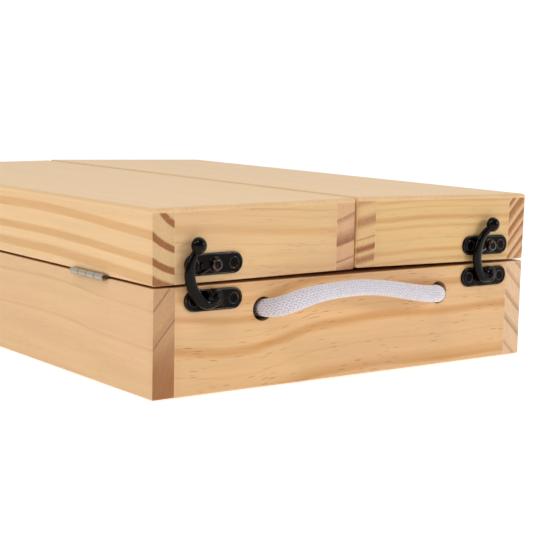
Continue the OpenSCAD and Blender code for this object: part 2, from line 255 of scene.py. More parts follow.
class Graph:
    """A small wrapper that adds shader nodes and joins them."""

    def __init__(self, name):
        self.mat = bpy.data.materials.new(name)
        self.mat.use_nodes = True
        self.t = self.mat.node_tree
        self.t.nodes.clear()
        self.bsdf = self.node("ShaderNodeBsdfPrincipled")
        out = self.node("ShaderNodeOutputMaterial")
        self.link(self.bsdf.outputs["BSDF"], out.inputs["Surface"])
        self.coord = self.node("ShaderNodeTexCoord")
        self.object = self.coord.outputs["Object"]
        self.normal = self.coord.outputs["Normal"]
        scale = self.node("ShaderNodeVectorMath")
        scale.operation = "SCALE"
        scale.inputs["Scale"].default_value = 1000.0
        self.link(self.object, scale.inputs[0])
        self.mm = scale.outputs["Vector"]

    def node(self, kind):
        return self.t.nodes.new(kind)

    def link(self, a, b):
        self.t.links.new(a, b)

    def put(self, socket, value):
        if value is None:
            return
        if isinstance(value, bpy.types.NodeSocket):
            self.link(value, socket)
        else:
            socket.default_value = value

    def m(self, op, a, b=None, c=None, clamp=False):
        n = self.node("ShaderNodeMath")
        n.operation = op
        n.use_clamp = clamp
        self.put(n.inputs[0], a)
        if b is not None:
            self.put(n.inputs[1], b)
        if c is not None:
            self.put(n.inputs[2], c)
        return n.outputs[0]

    def add(self, a, b): return self.m("ADD", a, b)
    def sub(self, a, b): return self.m("SUBTRACT", a, b)
    def mul(self, a, b): return self.m("MULTIPLY", a, b)
    def mad(self, a, b, c): return self.m("MULTIPLY_ADD", a, b, c)

    def split(self, v):
        n = self.node("ShaderNodeSeparateXYZ")
        self.link(v, n.inputs[0])
        return n.outputs[0], n.outputs[1], n.outputs[2]

    def join(self, x, y, z):
        n = self.node("ShaderNodeCombineXYZ")
        for s, v in zip(n.inputs, (x, y, z)):
            self.put(s, v)
        return n.outputs[0]

    def step(self, value, lo, hi, smooth=True):
        n = self.node("ShaderNodeMapRange")
        n.interpolation_type = "SMOOTHSTEP" if smooth else "LINEAR"
        self.put(n.inputs["Value"], value)
        n.inputs["From Min"].default_value = lo
        n.inputs["From Max"].default_value = hi
        return n.outputs["Result"]

    def noise(self, vector, scale=1.0, detail=2.0, rough=0.5, dist=0.0, dims="3D", w=None):
        n = self.node("ShaderNodeTexNoise")
        n.noise_dimensions = dims
        if vector is not None:
            self.put(n.inputs["Vector"], vector)
        if w is not None:
            self.put(n.inputs["W"], w)
        n.inputs["Scale"].default_value = scale
        n.inputs["Detail"].default_value = detail
        n.inputs["Roughness"].default_value = rough
        n.inputs["Distortion"].default_value = dist
        return n.outputs[0]

    def voronoi(self, vector, scale=1.0, feature="F1", rand=1.0):
        n = self.node("ShaderNodeTexVoronoi")
        n.feature = feature
        self.put(n.inputs["Vector"], vector)
        n.inputs["Scale"].default_value = scale
        n.inputs["Randomness"].default_value = rand
        return n.outputs["Distance"]

    def ramp(self, value, stops, interp="EASE"):
        n = self.node("ShaderNodeValToRGB")
        n.color_ramp.interpolation = interp
        el = n.color_ramp.elements
        while len(el) > 1:
            el.remove(el[-1])
        el[0].position = stops[0][0]
        el[0].color = self.grey(stops[0][1])
        for p, c in stops[1:]:
            e = el.new(p)
            e.color = self.grey(c)
        self.put(n.inputs[0], value)
        return n.outputs[0]

    @staticmethod
    def grey(c):
        return (c, c, c, 1.0) if isinstance(c, (int, float)) else c

    def curve(self, value, points):
        """A value read from points (x, y), straight past the ends."""
        x0, x1 = points[0][0], points[-1][0]
        ys = [p[1] for p in points]
        y0, y1 = min(ys) - 1e-3, max(ys) + 1e-3
        n = self.node("ShaderNodeFloatCurve")
        c = n.mapping.curves[0]
        for i, (x, y) in enumerate(points):
            px, py = (x - x0) / (x1 - x0), (y - y0) / (y1 - y0)
            if i < 2 and i < len(c.points):
                c.points[i].location = (px, py)
            else:
                c.points.new(px, py)
        n.mapping.update()
        self.put(n.inputs["Value"], self.m("DIVIDE", self.sub(value, x0), x1 - x0, clamp=True))
        return self.mad(n.outputs[0], y1 - y0, y0)

    def mix(self, fac, a, b, blend="MIX"):
        n = self.node("ShaderNodeMix")
        n.data_type = "RGBA"
        n.blend_type = blend
        n.clamp_factor = True
        self.put(n.inputs[0], fac)
        self.put(n.inputs[6], a)
        self.put(n.inputs[7], b)
        return n.outputs[2]

    def scale_rgb(self, colour, factor):
        n = self.node("ShaderNodeVectorMath")
        n.operation = "SCALE"
        self.link(colour, n.inputs[0])
        self.put(n.inputs["Scale"], factor)
        return n.outputs[0]

    def stretch(self, vector, sx, sy, sz):
        n = self.node("ShaderNodeVectorMath")
        n.operation = "MULTIPLY"
        self.link(vector, n.inputs[0])
        n.inputs[1].default_value = (sx, sy, sz)
        return n.outputs[0]

    def bump(self, height, distance, strength=1.0, normal=None):
        n = self.node("ShaderNodeBump")
        n.inputs["Strength"].default_value = strength
        n.inputs["Distance"].default_value = distance
        self.put(n.inputs["Height"], height)
        if normal is not None:
            self.link(normal, n.inputs["Normal"])
        return n.outputs[0]

    def edge(self, box):
        """Distance in millimetres to the nearest edge of a board that fills the box."""
        x, y, z = self.split(self.mm)
        lo, hi = box
        d = []
        for s, a, b in ((x, lo[0], hi[0]), (y, lo[1], hi[1]), (z, lo[2], hi[2])):
            d.append(self.m("MAXIMUM", self.m("MINIMUM", self.sub(s, a * 1000), self.sub(b * 1000, s)), 0.0))
        small = self.m("MINIMUM", d[0], d[1])
        big = self.m("MAXIMUM", d[0], d[1])
        return self.m("MAXIMUM", small, self.m("MINIMUM", big, d[2]))


def bands(centres):
    """Ring profile from a list of (centre, half width, darkness, shape); shape 's' is symmetric and soft,
    'o' has its sharp side outwards, 'i' inwards."""
    stops = []
    for c, h, d, shape in centres:
        if shape == "s":
            stops += [(c - h * 1.35, 0.0), (c - h * 0.35, d), (c + h * 0.35, d), (c + h * 1.35, 0.0)]
        elif shape == "o":
            stops += [(c - h, 0.0), (c + h * 0.55, d), (c + h * 0.9, d), (c + h * 1.15, 0.0)]
        elif shape == "w":
            stops += [(c - h * 1.15, 0.0), (c - h * 0.6, d), (c + h * 0.75, d), (c + h * 1.1, 0.0)]
        else:
            stops += [(c - h * 1.15, 0.0), (c - h * 0.9, d), (c - h * 0.55, d), (c + h, 0.0)]
    stops.sort()
    return stops


def wood(name, grain, pith, rings, light, dark, end_light, end_dark, box=None,
         wander=None, wander_across=None, warp=0.7, fine=0.25, period=None, fleck=0.5, blotch=0.05,
         fibre=0.09, k_face=1.0, rough=0.5, end_tint=None, ripple=0.05, seed=0.0, plane=None, seam_shade=True,
         streaks=0.22):
    """Sawn softwood. Growth rings are shells about a pith line that runs with the grain, so that the stripes on a
    board's end meet the bands on its faces. grain is 'X' or 'Y'. pith is (across, up) in millimetres. rings is a
    list for bands(). plane, in place of pith, is (direction across, direction up, offset): straight layers."""
    g = Graph(name)
    x, y, z = g.split(g.mm)
    along, across = (y, x) if grain == "Y" else (x, y)
    low = g.noise(g.join(g.mul(along, 0.006), g.mul(across, 0.05), g.mad(z, 0.05, seed)), 1.0, 1.0, 0.4)
    a, b = across, z
    if wander:
        b = g.sub(b, g.curve(along, wander))
    if wander_across:
        a = g.sub(a, g.curve(along, wander_across))
    if plane:
        r = g.add(g.add(g.mul(a, plane[0]), g.mul(b, plane[1])), plane[2])
    else:
        dx, dz = g.sub(a, pith[0]), g.sub(b, pith[1])
        r = g.m("SQRT", g.add(g.mul(dx, dx), g.mul(dz, dz)))
    r = g.mad(g.sub(low, 0.5), 2 * warp, r)
    fuzz = g.noise(g.join(g.mul(along, 0.03), g.mul(across, 0.55), g.mad(z, 0.55, seed)), 1.0, 2.0, 0.5)
    rf = g.mad(g.sub(fuzz, 0.5), 2 * fine, r)
    if rings:
        stops = bands(rings)
        lo, hi = stops[0][0] - 0.5, stops[-1][0] + 0.5
        clean, last = [], -1.0
        for p, d in stops:
            q = max((p - lo) / (hi - lo), last + 0.0008)
            last = q
            clean.append((min(q, 1.0), d))
        clean = [(0.0, clean[0][1])] + clean[:31]
        d = g.ramp(g.m("DIVIDE", g.sub(rf, lo), hi - lo, clamp=True), clean, "LINEAR")
    else:
        d = None
    if period:
        spacing, width, strength, phase = period
        t = g.m("DIVIDE", g.sub(rf, phase), spacing)
        jitter = g.noise(None, 0.55, 1.0, 0.4, dims="1D", w=g.add(g.mul(r, 1.0 / spacing), seed))
        t = g.mad(g.sub(jitter, 0.5), 0.9, t)
        f = g.m("FRACT", t)
        p = g.ramp(f, [(0.0, 0.0), (max(0.02, 1 - width * 1.9), 0.0), (max(0.05, 1 - width * 0.6), 1.0), (0.965, 1.0), (1.0, 0.0)], "EASE")
        vary = g.noise(None, 0.9, 1.0, 0.5, dims="1D", w=g.add(g.mul(r, 0.7 / spacing), seed + 7.3))
        p = g.mul(g.mul(p, strength), g.mad(vary, 1.2, 0.4))
        d = p if d is None else g.m("MAXIMUM", d, p)
    rip = g.m("SINE", g.mul(rf, 2 * math.pi / 1.15))
    d = g.mad(rip, ripple, d)
    tone = g.noise(g.join(g.mul(along, 0.02), g.mul(across, 0.3), g.mad(z, 0.3, seed + 3.1)), 1.0, 2.0, 0.5)
    d_face = g.m("MULTIPLY", g.mul(d, g.mad(tone, 0.9, 0.55)), k_face, clamp=True)
    d_end = g.m("MULTIPLY", g.mul(d, g.mad(fuzz, 0.5, 0.78)), 1.0, clamp=True)

    nx, ny, nz = g.split(g.normal)
    end = g.step(g.m("ABSOLUTE", ny if grain == "Y" else nx), 0.62, 0.8)

    # faces: fibres, resin ducts that show as short dark dashes, and slow changes of tone
    fv = g.join(g.mul(along, 0.045), g.mul(across, 1.9), g.mad(z, 1.9, seed))
    fib = g.noise(fv, 1.0, 4.0, 0.62)
    wv = g.join(g.mul(along, 0.010), g.mul(across, 0.22), g.mad(z, 0.22, seed + 11.0))
    streak = g.noise(wv, 1.0, 3.0, 0.6)
    bl = g.noise(g.stretch(g.mm, 0.011, 0.011, 0.03), 1.0, 2.0, 0.5)
    cells = g.voronoi(g.join(g.mul(along, 0.075), g.mul(a, 1.10), g.mad(b, 1.10, seed + 5.0)), 1.0)
    gate = g.step(g.noise(g.join(g.mul(along, 0.03), g.mul(a, 0.12), g.mad(b, 0.12, seed + 2.0)), 1.0, 1.0, 0.5), 0.40, 0.60)
    dash = g.mul(g.m("SUBTRACT", 1.0, g.step(cells, 0.10, 0.25)), gate)

    face = g.mix(d_face, light, dark)
    face = g.mix(g.m("MULTIPLY", g.step(bl, 0.38, 0.72), blotch * 4, clamp=True), face, srgb(232, 180, 145))
    face = g.scale_rgb(face, g.mad(g.sub(fib, 0.5), 2 * fibre, 1.0))
    face = g.scale_rgb(face, g.mad(g.sub(streak, 0.5), streaks, 1.0))
    face = g.mix(g.m("MULTIPLY", dash, fleck * 1.1, clamp=True), face, srgb(144, 86, 44))

    # ends: cut fibres, slightly darker and rougher, with pores
    pores = g.noise(g.stretch(g.mm, 2.6, 2.6, 2.6), 1.0, 3.0, 0.7)
    grit = g.noise(g.stretch(g.mm, 0.7, 0.7, 0.7), 1.0, 2.0, 0.5)
    rays = g.noise(g.join(g.mul(r, 0.10), g.mul(g.m("ARCTAN2", g.sub(z, pith[1] if pith else 400.0), g.sub(across, pith[0] if pith else 0.0)), 260.0), seed), 1.0, 1.0, 0.5)
    face_e = g.mix(d_end, end_light, end_dark)
    if end_tint:
        z0, z1, tint, amount = end_tint
        face_e = g.mix(g.mul(g.step(z, z0, z1), amount), face_e, tint)
    face_e = g.scale_rgb(face_e, g.mad(g.sub(pores, 0.5), 0.36, 1.0))
    face_e = g.scale_rgb(face_e, g.mad(g.sub(grit, 0.5), 0.22, 1.0))
    face_e = g.scale_rgb(face_e, g.mad(g.sub(rays, 0.5), 0.16, 1.0))
    colour = g.mix(end, face, face_e)

    edge_wear_and_highlight = None
    if box is not None:
        # board edges are painted slightly lighter and smoother, partly as wear and partly as a painted highlight on
        # their rounded corners
        ed = g.edge(box)
        edge_wear_and_highlight = g.m("SUBTRACT", 1.0, g.step(g.mad(g.sub(fuzz, 0.5), 0.7, ed), 0.1, 1.1))
        colour = g.scale_rgb(colour, g.mad(edge_wear_and_highlight, 0.06, 1.0))
        soil = g.m("SUBTRACT", 1.0, g.step(g.mad(g.sub(tone, 0.5), 6.0, ed), 0.8, 6.0))
        colour = g.scale_rgb(colour, g.mad(soil, -0.035, 1.0))
    if seam_shade:
        # painted shade: the flat edges where lid and base meet, in the gap between them, are darkened to brown
        flatness = g.step(g.m("ABSOLUTE", nz), 0.80, 0.95)
        level = g.m("SUBTRACT", 1.0, g.step(g.m("ABSOLUTE", g.sub(z, 53.4)), 1.9, 2.4))
        colour = g.mix(g.mul(g.mul(flatness, level), 0.36), colour, srgb(150, 82, 42))
    g.link(colour, g.bsdf.inputs["Base Color"])
    ro = g.mad(g.sub(fib, 0.5), 0.22, rough)
    ro = g.mad(d_face, -0.07, ro)
    ro = g.mad(end, 0.16, ro)
    if edge_wear_and_highlight is not None:
        ro = g.mad(edge_wear_and_highlight, -0.08, ro)
    g.link(ro, g.bsdf.inputs["Roughness"])
    g.bsdf.inputs["Specular IOR Level"].default_value = 0.32
    h = g.add(g.mul(fib, 1.0), g.mul(d_face, 0.55))
    h = g.mad(dash, -0.6, h)
    hend = g.mad(d_end, 0.8, g.mul(pores, 1.3))
    hm = g.node("ShaderNodeMix")
    hm.data_type = "FLOAT"
    g.link(end, hm.inputs[0]); g.link(h, hm.inputs[2]); g.link(hend, hm.inputs[3])
    g.link(g.bump(hm.outputs[0], 0.00005, 0.55), g.bsdf.inputs["Normal"])
    return g.mat


def give(node, mat):
    me = N[node].data
    me.materials.clear()
    me.materials.append(mat)


def node_box(node):
    lo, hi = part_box(node)
    return tuple(lo), tuple(hi)


# ------------------------------------------------------------------ pine boards
TAN = srgb(236, 197, 150)
WANDER_FRONT = [(-120, 23.5), (-109, 22.2), (-92, 20.3), (-73, 19.2), (-54, 21.5), (-35, 25.7), (-23, 27.9), (-9, 28.8),
                (16, 30.0), (42, 29.2), (70, 28.8), (95, 29.6), (120, 29.0)]
front = wood(
    "pine_base_front", "X", None,
    [(-3.0, 3.6, 0.62, "i"), (7.4, 0.5, 0.26, "s"), (20.0, 2.5, 0.72, "s"), (26.5, 0.5, 0.22, "s"), (35.4, 2.0, 0.66, "s"),
     (44.5, 2.2, 0.5, "s"), (49.0, 1.0, 0.3, "s"), (-12.0, 1.8, 0.6, "s")],
    srgb(229, 185, 132), srgb(205, 144, 76), srgb(214, 170, 126), srgb(150, 96, 56), node_box("base_front_panel"),
    wander=WANDER_FRONT, warp=1.2, fine=0.5, plane=(0.25, 1.0, 20.0 + 0.25 * 159.9), fleck=0.62, blotch=0.05, seed=1.7)
back = wood(
    "pine_base_back", "X", (230.0, -60.0), None,
    srgb(231, 190, 143), srgb(209, 150, 92), srgb(214, 170, 126), srgb(150, 96, 56), node_box("base_back_panel"),
    wander=[(-120, 3.0), (-60, -1.5), (-10, 1.8), (50, -2.2), (120, 1.0)], warp=1.6, fine=0.5,
    period=(8.5, 0.30, 0.85, 3.0), fleck=0.5, seed=4.4)
left_base = wood(
    "pine_base_left", "Y", None,
    [(-9.5, 1.2, 0.10, "s"), (0.0, 0.55, 0.62, "s"), (10.6, 1.8, 0.18, "s"), (12.3, 0.6, 0.66, "s"), (20.0, 3.0, 0.22, "s"), (30.0, 2.0, 0.2, "s")],
    srgb(227, 187, 137), srgb(210, 161, 109), srgb(200, 156, 112), srgb(134, 88, 60), node_box("base_left_side"),
    wander=[(-160, 0.0), (-110, 1.2), (-60, 3.6), (0, 3.0), (70, 6.0), (168, 4.0)],
    plane=(0.755, -0.656, 90.6 + 27.6), warp=1.0, fine=0.2, k_face=0.9, fleck=0.16, blotch=0.06,
    end_tint=(36.0, 8.0, srgb(160, 103, 58), 0.85), seed=8.1)
right_base = wood(
    "pine_base_right", "Y", None,
    [(5.0, 1.2, 0.5, "i"), (15.5, 1.9, 0.62, "i"), (25.0, 1.6, 0.6, "i"), (34.0, 1.6, 0.5, "i"), (42.5, 1.8, 0.55, "i"),
     (49.5, 1.2, 0.45, "i"), (-5.0, 1.6, 0.5, "i"), (-14.0, 1.6, 0.5, "i")],
    srgb(232, 190, 146), srgb(210, 156, 106), srgb(230, 192, 154), srgb(164, 118, 84), node_box("base_right_side"),
    wander=[(-160, 0.0), (-100, 2.0), (-20, -1.0), (80, 3.0), (168, 1.0)],
    plane=(0.70, 0.72, -77.0), warp=0.8, fine=0.25, k_face=0.9, fleck=0.3, seed=12.9)

lid_ls = node_box("left_lid_outer_side")
l_outer = wood(
    "pine_left_lid_outer", "Y", (-98.0, 102.0),
    [(13.5, 1.2, 0.5, "w"), (22.6, 1.7, 0.95, "w"), (33.5, 1.75, 1.0, "w"), (43.1, 1.8, 1.0, "w"), (50.8, 2.2, 0.95, "w"), (58.5, 1.4, 0.7, "w")],
    srgb(236, 197, 145), srgb(219, 168, 106), srgb(220, 182, 132), srgb(158, 98, 56), lid_ls,
    wander=[(-160, 0.0), (-130, 1.4), (-90, 3.2), (-40, 4.2), (10, 4.0), (80, 1.5), (168, 3.5)],
    warp=0.7, fine=0.22, k_face=0.92, fleck=0.14, blotch=0.03, seed=3.3)
l_seam = wood(
    "pine_left_lid_seam", "Y", (-29.0, 149.3),
    [(72.4, 1.7, 0.5, "i"), (80.4, 3.9, 0.78, "o"), (92.0, 0.5, 0.6, "s"), (96.4, 2.9, 0.85, "o")],
    srgb(238, 200, 152), srgb(216, 160, 106), srgb(220, 174, 132), srgb(148, 88, 58), node_box("left_lid_seam_side"),
    wander=[(-160, 0.0), (-60, 2.0), (60, -1.0), (168, 1.0)], warp=0.5, fine=0.2, fleck=0.2, seed=6.2)
r_seam = wood(
    "pine_right_lid_seam", "Y", (-10.0, 161.6),
    [(74.2, 2.4, 0.45, "s"), (84.4, 2.9, 0.66, "s"), (92.9, 0.45, 0.6, "s"), (98.0, 1.7, 1.0, "s"), (103.4, 2.0, 0.75, "s"), (108.0, 0.6, 0.4, "s")],
    srgb(238, 202, 150), srgb(214, 162, 102), srgb(224, 184, 130), srgb(164, 96, 56), node_box("right_lid_seam_side"),
    wander=[(-160, 0.0), (-60, -2.0), (60, 1.0), (168, -1.0)], warp=0.6, fine=0.25, fleck=0.2, seed=9.9)
r_outer = wood(
    "pine_right_lid_outer", "Y", None, None,
    srgb(238, 202, 154), srgb(218, 164, 108), srgb(222, 182, 136), srgb(170, 108, 62), node_box("right_lid_outer_side"),
    wander=[(-160, 0.0), (-60, 3.0), (60, -2.0), (168, 2.0)],
    plane=(-0.72, 0.69, 60.0), warp=0.6, fine=0.25, period=(4.9, 0.42, 1.0, 1.2), k_face=0.9, fleck=0.2, seed=15.5)
l_front = wood(
    "pine_left_lid_front", "X", None,
    [(2.2, 0.5, 0.3, "s"), (6.0, 1.1, 0.25, "s"), (12.5, 0.4, 0.2, "s"), (16.6, 0.5, 0.22, "s"), (22.9, 2.3, 0.46, "s"), (30.0, 0.5, 0.16, "s"), (33.6, 0.6, 0.45, "s")],
    srgb(228, 189, 136), srgb(210, 153, 90), srgb(216, 176, 138), srgb(150, 96, 56), node_box("left_lid_front"),
    wander=[(-120, 2.6), (-96, 1.4), (-72, 0.0), (-48, -1.2), (-24, -2.6), (0, -3.0)], plane=(0.08, 1.0, -54.4 + 0.08 * 159.9),
    warp=0.9, fine=0.6, fleck=0.3, seed=21.0)
r_front = wood(
    "pine_right_lid_front", "X", None,
    [(2.4, 0.9, 0.6, "s"), (7.4, 1.3, 0.7, "s"), (13.5, 0.5, 0.25, "s"), (19.9, 1.0, 0.5, "s"), (24.4, 1.4, 0.75, "s"), (30.0, 0.6, 0.35, "s"), (33.4, 0.8, 0.5, "s")],
    srgb(226, 186, 128), srgb(208, 154, 86), srgb(216, 176, 138), srgb(150, 96, 56), node_box("right_lid_front"),
    wander=[(0, 0.4), (14, -0.6), (48, 0.3), (84, -0.4), (120, -1.2)], plane=(0.1, 1.0, -54.6 + 0.1 * 159.9), warp=0.55, fine=0.35,
    fleck=0.24, seed=25.0)
l_back = wood(
    "pine_left_lid_back", "X", (300.0, -40.0), None,
    srgb(235, 197, 150), srgb(211, 156, 98), srgb(216, 176, 138), srgb(150, 96, 56), node_box("left_lid_back"),
    wander=[(-120, 1.0), (-60, -1.0), (0, 1.0)], warp=1.0, fine=0.4, period=(7.0, 0.30, 0.75, 2.0), fleck=0.4, seed=31.0)
r_back = wood(
    "pine_right_lid_back", "X", (320.0, 180.0), None,
    srgb(236, 199, 150), srgb(213, 160, 100), srgb(216, 176, 138), srgb(150, 96, 56), node_box("right_lid_back"),
    wander=[(0, 1.0), (60, -1.4), (120, 1.0)], warp=1.0, fine=0.4, period=(8.0, 0.30, 0.75, 4.0), fleck=0.4, seed=37.0)


def skin(name, node, seed, pith):
    return wood(name, "Y", pith, None, srgb(236, 197, 143), srgb(230, 187, 130), srgb(236, 197, 148), srgb(228, 184, 132),
                node_box(node), wander_across=[(-160, 0.0), (-60, 5.0), (40, -3.0), (168, 4.0)],
                warp=2.0, fine=0.5, period=(11.0, 0.35, 0.4, 2.0), fleck=0.06, blotch=0.02, fibre=0.035, rough=0.46, ripple=0.01,
                streaks=0.08, seam_shade=False, seed=seed)


give("base_front_panel", front)
give("base_back_panel", back)
give("base_left_side", left_base)
give("base_right_side", right_base)
give("left_lid_outer_side", l_outer)
give("left_lid_seam_side", l_seam)
give("right_lid_seam_side", r_seam)
give("right_lid_outer_side", r_outer)
give("left_lid_front", l_front)
give("right_lid_front", r_front)
give("left_lid_back", l_back)
give("right_lid_back", r_back)
give("left_lid_top", skin("pine_left_lid_top", "left_lid_top", 41.0, (-60.0, 10.0)))
give("right_lid_top", skin("pine_right_lid_top", "right_lid_top", 47.0, (70.0, 0.0)))

# plywood bottom and the plain inner parts
give("base_bottom_panel", wood("birch_plywood", "Y", (10.0, -90.0), None, srgb(236, 208, 168), srgb(214, 172, 122),
     srgb(206, 166, 118), srgb(160, 112, 72), node_box("base_bottom_panel"),
     wander=[(-160, 2.0), (-80, -3.0), (0, 3.5), (80, -2.0), (168, 3.0)], warp=4.0, fine=0.5, period=(1.6, 0.4, 0.8, 0.3),
     fleck=0.15, rough=0.55, seed=51.0))
for i, (n, gr, pith) in enumerate([
        ("center_divider", "Y", (60.0, -30.0)), ("long_divider", "Y", (-40.0, 90.0)), ("knot_guard_board", "X", (-260.0, 90.0)),
        ("cross_dividers", "X", (-60.0, -80.0)), ("mast_beam", "X", (-240.0, -30.0)), ("ratchet_rail", "Y", (20.0, 80.0)),
        ("mast_board", "Y", (-60.0, -40.0)), ("canvas_ledge", "X", (-220.0, 140.0)), ("strut_blocks", "Y", (-10.0, 90.0)),
        ("strut_bars", "Y", (-70.0, 120.0)), ("strut_foot_dowel", "X", (120.0, 5.0)), ("canvas_clamp", "X", (-80.0, 20.0))]):
    give(n, wood("inner_" + n, gr, pith, None, srgb(233, 196, 150), srgb(206, 154, 100), srgb(208, 166, 118), srgb(152, 102, 64),
                 node_box(n), warp=1.2, fine=0.4, period=(5.2 + 0.7 * (i % 4), 0.3, 0.75, 1.0 + i), fleck=0.3, rough=0.54, seed=60.0 + 3.7 * i))
give("clamp_knob", wood("inner_knob", "X", (-80.0, 90.0), None, srgb(214, 166, 114), srgb(176, 120, 72), srgb(188, 138, 92), srgb(140, 90, 54),
     None, warp=1.0, fine=0.3, period=(3.2, 0.3, 0.8, 0.5), fleck=0.3, rough=0.42, seed=110.0))


# ------------------------------------------------------------------ metals
def metal(name, base, rub, rough, rub_at, flaw=0.5, metallic=1.0, height=0.00003, spec=0.5, coat=0.0, ior=1.21):
    """Cast or pressed metal: a thin dark film that has rubbed through here and there, with a pebbled surface."""
    g = Graph(name)
    big = g.noise(g.stretch(g.mm, 0.16, 0.16, 0.16), 1.0, 3.0, 0.55)
    mid = g.noise(g.stretch(g.mm, 0.9, 0.9, 0.9), 1.0, 3.0, 0.6)
    tiny = g.noise(g.stretch(g.mm, 5.0, 5.0, 5.0), 1.0, 2.0, 0.5)
    wear = g.m("MULTIPLY", g.step(g.mad(mid, 0.45, g.mul(big, 0.55)), rub_at, rub_at + 0.16), flaw, clamp=True)
    colour = g.mix(wear, base, rub)
    colour = g.scale_rgb(colour, g.mad(g.sub(tiny, 0.5), 0.5, 1.0))
    g.link(colour, g.bsdf.inputs["Base Color"])
    g.bsdf.inputs["Metallic"].default_value = metallic
    g.bsdf.inputs["Specular IOR Level"].default_value = spec
    ro = g.mad(g.sub(mid, 0.5), 0.22, rough)
    ro = g.mad(wear, -0.08, ro)
    g.link(ro, g.bsdf.inputs["Roughness"])
    g.link(g.bump(g.mad(mid, 1.0, g.mul(tiny, 0.35)), height, 0.5), g.bsdf.inputs["Normal"])
    if coat:
        g.bsdf.inputs["Coat Weight"].default_value = coat
        g.bsdf.inputs["Coat IOR"].default_value = ior
        g.bsdf.inputs["Coat Roughness"].default_value = 0.13
    return g.mat


bronze = metal("antique_bronze_dark", (0.0036, 0.0024, 0.0018, 1), (0.055, 0.025, 0.013, 1), 0.26, 0.57, 0.5, 0.9, 0.00004, 0.2, 1.0, 1.2)
bronze_edge = metal("antique_bronze_edge", (0.008, 0.005, 0.0035, 1), (0.15, 0.075, 0.038, 1), 0.30, 0.50, 0.6, 0.9, 0.00005, 0.3, 1.0, 1.3)
bronze_rub = metal("antique_bronze_rubbed", (0.022, 0.0125, 0.0085, 1), (0.11, 0.060, 0.036, 1), 0.26, 0.45, 0.6, 0.9, 0.00004, 0.3, 1.0, 1.42)
bronze_screw = metal("antique_bronze_screw", (0.005, 0.004, 0.0035, 1), (0.06, 0.03, 0.018, 1), 0.36, 0.6, 0.5, 0.85, 0.00004, 0.3)
nickel = metal("nickel_satin", (0.44, 0.38, 0.315, 1), (0.24, 0.185, 0.13, 1), 0.36, 0.60, 0.6, 1.0, 0.00003)
nickel_dark = metal("nickel_shadow", (0.12, 0.095, 0.07, 1), (0.06, 0.045, 0.03, 1), 0.42, 0.50, 0.6, 1.0, 0.00003)
brass = metal("brass_aged", (0.62, 0.44, 0.19, 1), (0.30, 0.19, 0.08, 1), 0.32, 0.55, 0.6, 1.0, 0.00003)
bronze_plate = metal("antique_bronze_plate", (0.0044, 0.0030, 0.0023, 1), (0.060, 0.028, 0.015, 1), 0.30, 0.55, 0.6, 0.9, 0.00005, 0.2, 0.3)
for n in ("left_latch_base_plate", "right_latch_base_plate", "left_catch_plate", "right_catch_plate", "hook_rivets"):
    give(n, bronze_plate)
for n in ("latch_base_screws", "left_catch_screws", "right_catch_screws"):
    give(n, bronze_screw)
for n in ("left_hinge_base_leaves", "right_hinge_base_leaves", "left_hinge_lid_leaves", "right_hinge_lid_leaves",
          "mast_pin", "strut_pins", "clamp_bolt"):
    give(n, nickel)
for n in ("left_hinge_pins", "right_hinge_pins", "hinge_base_screws", "left_hinge_lid_screws", "right_hinge_lid_screws"):
    give(n, nickel_dark)
give("mast_brackets", brass)


# ------------------------------------------------------------------ rope
def rope_material(name, scale=1.0):
    g = Graph(name)
    mid = g.noise(g.stretch(g.mm, 0.5, 0.5, 0.5), 1.0, 2.0, 0.5)
    hair = g.noise(g.stretch(g.mm, 7.0, 7.0, 7.0), 1.0, 3.0, 0.65)
    yarn = g.noise(g.stretch(g.mm, 2.4, 2.4, 2.4), 1.0, 2.0, 0.6)
    colour = g.mix(g.step(mid, 0.35, 0.7), (0.87, 0.825, 0.845, 1), (0.82, 0.77, 0.82, 1))
    colour = g.scale_rgb(colour, g.mad(g.sub(hair, 0.5), 0.08, 1.0))
    if name == "cotton_braid":
        at = g.node("ShaderNodeAttribute")
        at.attribute_name = "proud"
        # painted shade: points that stand less proud, in the hollows between yarns, are darkened to violet-grey
        colour = g.mix(g.step(at.outputs["Fac"], 0.90, 0.99), (0.47, 0.43, 0.53, 1), colour)
        # painted shade: the cord is darkened to grey-brown inside its holes in the front board
        hole_shade = g.step(g.split(g.mm)[1], FY - 0.2, FY + 2.6)
        colour = g.mix(g.mul(hole_shade, 0.88), colour, (0.10, 0.055, 0.035, 1))
    g.link(colour, g.bsdf.inputs["Base Color"])
    g.bsdf.inputs["Roughness"].default_value = 0.85
    g.bsdf.inputs["Specular IOR Level"].default_value = 0.15
    g.bsdf.inputs["Sheen Weight"].default_value = 0.25
    g.bsdf.inputs["Sheen Roughness"].default_value = 0.5
    g.bsdf.inputs["Subsurface Weight"].default_value = 0.15
    g.bsdf.inputs["Subsurface Radius"].default_value = (0.6, 0.6, 0.6)
    g.bsdf.inputs["Subsurface Scale"].default_value = 0.0012
    g.link(g.bump(g.mad(yarn, 1.0, g.mul(hair, 0.5)), 0.00006, 0.5), g.bsdf.inputs["Normal"])
    return g.mat


cotton = rope_material("cotton_braid")

BOW = [[-53.6, -4.9, 39.4], [-51.4, -7.5, 40.8], [-48.4, -9.7, 42.2], [-44.6, -11.3, 43.7], [-39.2, -12.3, 45.3],
       [-28, -12.9, 46.8], [-12.5, -13, 47.6], [0, -13, 47.1], [10, -13, 45.9], [20, -12.9, 44.2],
       [31, -12.4, 42.1], [40, -11.2, 40.8], [46, -9.6, 40.0], [50.2, -7.4, 39.4], [53, -4.9, 38.9]]
left_in = [[-57.3, 12.3, 38.9], [-57.2, 8.0, 38.9], [-56.7, 4.0, 39.0], [-55.9, 0.0, 39.1]]
right_in = [[55.9, 0.0, 38.7], [56.9, 4.0, 38.7], [57.3, 8.0, 38.8], [57.4, 12.3, 38.8]]
route = left_in + BOW + right_in
route = np.array([[p[0], p[1] + FY, p[2]] for p in route])
path = resample(soften(resample(catmull(route, 0.5), 0.5), 140), 0.45)
t, u, v = frames(path)


